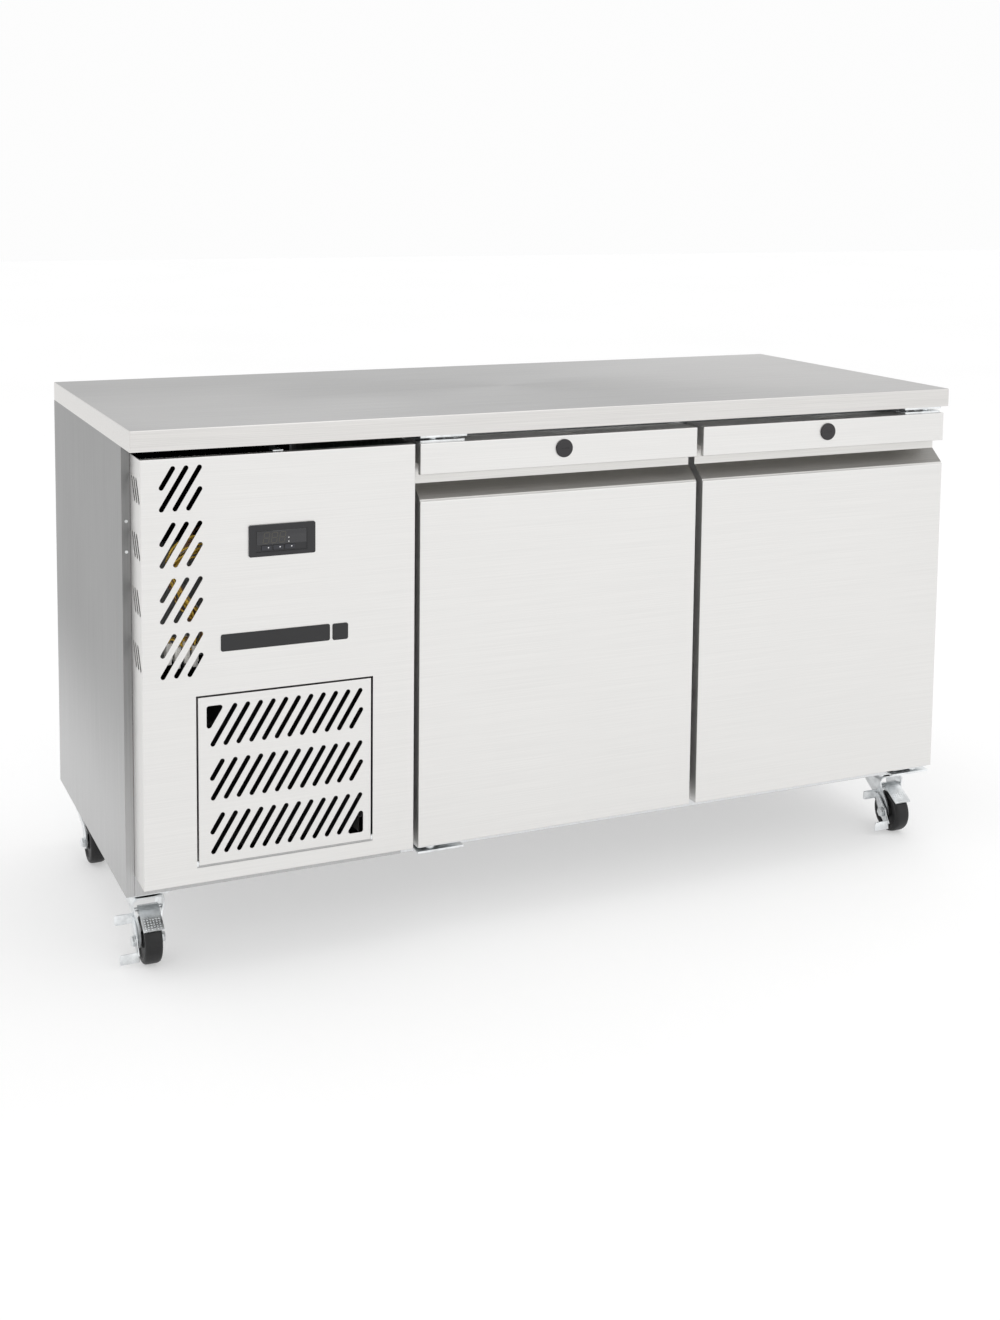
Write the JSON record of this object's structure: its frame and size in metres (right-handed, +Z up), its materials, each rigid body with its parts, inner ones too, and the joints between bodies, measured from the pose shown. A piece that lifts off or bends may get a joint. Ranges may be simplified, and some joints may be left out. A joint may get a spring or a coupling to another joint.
{
  "type": "undercounter refrigerator",
  "caption": "Counter-height refrigerator with a flat steel worktop, hinged doors with recessed grips, a slotted service panel with grille and controller, on swivel castors.",
  "frame": {"origin": "on the floor, under the middle of the bounding box", "axes": "+Z up; the doors face -Y; +X to the right of a person who faces the doors"},
  "size_m": [1.502, 0.6374, 0.85],
  "materials": {
    "steel_worktop": "satin",
    "steel_panel": "satin",
    "steel_front": "satin",
    "steel_grip": "satin",
    "steel_liner": "satin",
    "galvanised": "matte",
    "foam": "matte",
    "condenser_black": "satin",
    "fan_aluminium": "satin",
    "compressor_black": "satin",
    "white_plastic": "matte",
    "fin_aluminium": "matte",
    "black_plastic": "matte",
    "copper": "satin",
    "grey_plastic": "matte",
    "wire_yellow": "satin",
    "button_grey": "satin",
    "lock_plastic": "satin",
    "gasket_grey": "matte",
    "zinc": "satin",
    "wheel_rubber": "satin",
    "shelf_wire": "gloss"
  },
  "bodies": {
    "cabinet": {"worktop": "steel_worktop", "side_panel_left": "steel_panel", "side_panel_right": "steel_panel", "back_panel": "galvanised", "base_panel": "steel_panel", "partition_panel": "galvanised", "cabinet_foam": "foam", "inner_liner": "steel_liner", "door_frame": "steel_liner", "service_panel": "steel_front", "condenser_coil": "condenser_black", "fan_shroud": "galvanised", "compressor": "compressor_black", "evaporator_cover": "white_plastic", "evaporator_coil": "fin_aluminium", "fan_motors": "compressor_black", "refrigerant_pipes": "copper", "condensate_tray": "grey_plastic", "electrical_box": "grey_plastic", "wiring_loom": "wire_yellow", "cable_gland": "black_plastic", "controller_case": "black_plastic", "hinge_brackets": "zinc", "shelf_supports": "steel_liner", "castor_plates": "zinc", "fixings": "zinc"},
    "grille_flap": {"condenser_grille": "steel_front"},
    "condenser_fan_rotor": {"condenser_fan": "fan_aluminium"},
    "evaporator_fan_rotor": {"evaporator_fan": "black_plastic"},
    "button_1": {"controller_button_1": "button_grey"},
    "button_2": {"controller_button_2": "button_grey"},
    "button_3": {"controller_button_3": "button_grey"},
    "left_door": {"door_left_skin": "steel_front", "door_left_foam": "foam", "door_left_liner": "steel_liner", "door_left_grip": "steel_grip", "door_left_gasket": "gasket_grey", "door_left_hinge_leaves": "zinc"},
    "left_lock": {"door_left_lock": "lock_plastic"},
    "right_door": {"door_right_skin": "steel_front", "door_right_foam": "foam", "door_right_liner": "steel_liner", "door_right_grip": "steel_grip", "door_right_gasket": "gasket_grey", "door_right_hinge_leaves": "zinc"},
    "right_lock": {"door_right_lock": "lock_plastic"},
    "left_shelf": {"shelf_left": "shelf_wire"},
    "right_shelf": {"shelf_right": "shelf_wire"},
    "front_left_swivel": {"castor_fork_front_left": "zinc"},
    "front_left_wheel": {"castor_wheel_front_left": "wheel_rubber"},
    "left_brake_lever": {"brake_lever_left": "zinc"},
    "left_brake_shoe": {"brake_shoe_left": "zinc"},
    "front_right_swivel": {"castor_fork_front_right": "zinc"},
    "front_right_wheel": {"castor_wheel_front_right": "wheel_rubber"},
    "right_brake_lever": {"brake_lever_right": "zinc"},
    "right_brake_shoe": {"brake_shoe_right": "zinc"},
    "rear_left_swivel": {"castor_fork_rear_left": "zinc"},
    "rear_left_wheel": {"castor_wheel_rear_left": "wheel_rubber"},
    "rear_right_swivel": {"castor_fork_rear_right": "zinc"},
    "rear_right_wheel": {"castor_wheel_rear_right": "wheel_rubber"}
  },
  "joints": [
    {"name": "left_door_hinge", "type": "hinge", "parent": "cabinet", "child": "left_door", "pos_m": [-0.2548, -0.29425, 0.478], "axis": [0, 0, -1], "range_deg": [0, 100], "stiffness_Nm_per_rad": 0.6},
    {"name": "left_lock_turn", "type": "hinge", "parent": "left_door", "child": "left_lock", "pos_m": [-0.03115, -0.31625, 0.786], "axis": [0, -1, 0], "range_deg": [0, 90]},
    {"name": "right_door_hinge", "type": "hinge", "parent": "cabinet", "child": "right_door", "pos_m": [0.7081, -0.29425, 0.478], "axis": [0, 0, 1], "range_deg": [0, 100], "stiffness_Nm_per_rad": 0.6},
    {"name": "right_lock_turn", "type": "hinge", "parent": "right_door", "child": "right_lock", "pos_m": [0.48445, -0.31625, 0.786], "axis": [0, -1, 0], "range_deg": [0, 90]},
    {"name": "grille_hinge", "type": "hinge", "parent": "cabinet", "child": "grille_flap", "pos_m": [-0.5029, -0.31425, 0.1794], "axis": [1, 0, 0], "range_deg": [0, 90]},
    {"name": "condenser_fan_spin", "type": "hinge", "parent": "cabinet", "child": "condenser_fan_rotor", "pos_m": [-0.5029, -0.22325, 0.30765], "axis": [0, 1, 0], "continuous": true},
    {"name": "evaporator_fan_spin", "type": "hinge", "parent": "cabinet", "child": "evaporator_fan_rotor", "pos_m": [-0.1611, -0.05425, 0.622], "axis": [1, 0, 0], "continuous": true},
    {"name": "button_1_press", "type": "slide", "parent": "cabinet", "child": "button_1", "axis": [0, 1, 0], "range_m": [0, 0.001], "stiffness_N_per_m": 400},
    {"name": "button_2_press", "type": "slide", "parent": "cabinet", "child": "button_2", "axis": [0, 1, 0], "range_m": [0, 0.001], "stiffness_N_per_m": 400},
    {"name": "button_3_press", "type": "slide", "parent": "cabinet", "child": "button_3", "axis": [0, 1, 0], "range_m": [0, 0.001], "stiffness_N_per_m": 400},
    {"name": "left_shelf_slide", "type": "slide", "parent": "cabinet", "child": "left_shelf", "axis": [0, -1, 0], "range_m": [0, 0.014]},
    {"name": "right_shelf_slide", "type": "slide", "parent": "cabinet", "child": "right_shelf", "axis": [0, -1, 0], "range_m": [0, 0.014]},
    {"name": "front_left_castor_swivel", "type": "hinge", "parent": "cabinet", "child": "front_left_swivel", "pos_m": [-0.701, -0.20725, 0.109], "axis": [0, 0, 1], "continuous": true},
    {"name": "front_left_wheel_spin", "type": "hinge", "parent": "front_left_swivel", "child": "front_left_wheel", "pos_m": [-0.701, -0.23525, 0.038], "axis": [1, 0, 0], "continuous": true},
    {"name": "left_brake_press", "type": "hinge", "parent": "front_left_swivel", "child": "left_brake_lever", "pos_m": [-0.7219, -0.23525, 0.038], "axis": [1, 0, 0], "range_deg": [0, 24]},
    {"name": "left_shoe_lift", "type": "hinge", "parent": "front_left_swivel", "child": "left_brake_shoe", "pos_m": [-0.701, -0.22525, 0.084], "axis": [1, 0, 0], "range_deg": [-6, 0]},
    {"name": "front_right_castor_swivel", "type": "hinge", "parent": "cabinet", "child": "front_right_swivel", "pos_m": [0.713, -0.20725, 0.109], "axis": [0, 0, 1], "continuous": true},
    {"name": "front_right_wheel_spin", "type": "hinge", "parent": "front_right_swivel", "child": "front_right_wheel", "pos_m": [0.713, -0.23525, 0.038], "axis": [1, 0, 0], "continuous": true},
    {"name": "right_brake_press", "type": "hinge", "parent": "front_right_swivel", "child": "right_brake_lever", "pos_m": [0.6921, -0.23525, 0.038], "axis": [1, 0, 0], "range_deg": [0, 24]},
    {"name": "right_shoe_lift", "type": "hinge", "parent": "front_right_swivel", "child": "right_brake_shoe", "pos_m": [0.713, -0.22525, 0.084], "axis": [1, 0, 0], "range_deg": [-6, 0]},
    {"name": "rear_left_castor_swivel", "type": "hinge", "parent": "cabinet", "child": "rear_left_swivel", "pos_m": [-0.701, 0.22075, 0.109], "axis": [0, 0, 1], "continuous": true},
    {"name": "rear_left_wheel_spin", "type": "hinge", "parent": "rear_left_swivel", "child": "rear_left_wheel", "pos_m": [-0.701, 0.19275, 0.038], "axis": [1, 0, 0], "continuous": true},
    {"name": "rear_right_castor_swivel", "type": "hinge", "parent": "cabinet", "child": "rear_right_swivel", "pos_m": [0.713, 0.22075, 0.109], "axis": [0, 0, 1], "continuous": true},
    {"name": "rear_right_wheel_spin", "type": "hinge", "parent": "rear_right_swivel", "child": "rear_right_wheel", "pos_m": [0.713, 0.19275, 0.038], "axis": [1, 0, 0], "continuous": true}
  ],
  "couplings": [
    {"joint": "left_shoe_lift", "follows": "left_brake_press", "ratio": -0.2},
    {"joint": "right_shoe_lift", "follows": "right_brake_press", "ratio": -0.2}
  ]
}
